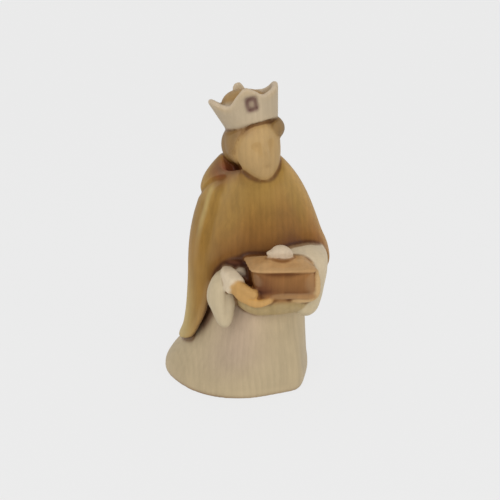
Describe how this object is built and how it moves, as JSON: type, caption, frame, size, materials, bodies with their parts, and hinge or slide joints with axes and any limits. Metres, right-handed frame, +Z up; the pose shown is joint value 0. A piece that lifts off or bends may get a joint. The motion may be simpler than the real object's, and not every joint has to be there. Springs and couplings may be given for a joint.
{
  "type": "wise man figurine",
  "caption": "Carved wooden nativity king in a long cape, crowned and offering a small casket with both hands, standing on a flat base.",
  "frame": {"origin": "middle of the flat underside, on the surface it stands on", "axes": "+Z up, -Y the front that the figure shows, +X the side towards which it turns its head"},
  "size_m": [0.0674, 0.0733, 0.12],
  "materials": {
    "maple": "pale maple, stained golden brown on the cape and casket, satin lacquer"
  },
  "bodies": {
    "root": {"wise_man": "maple"}
  },
  "joints": []
}
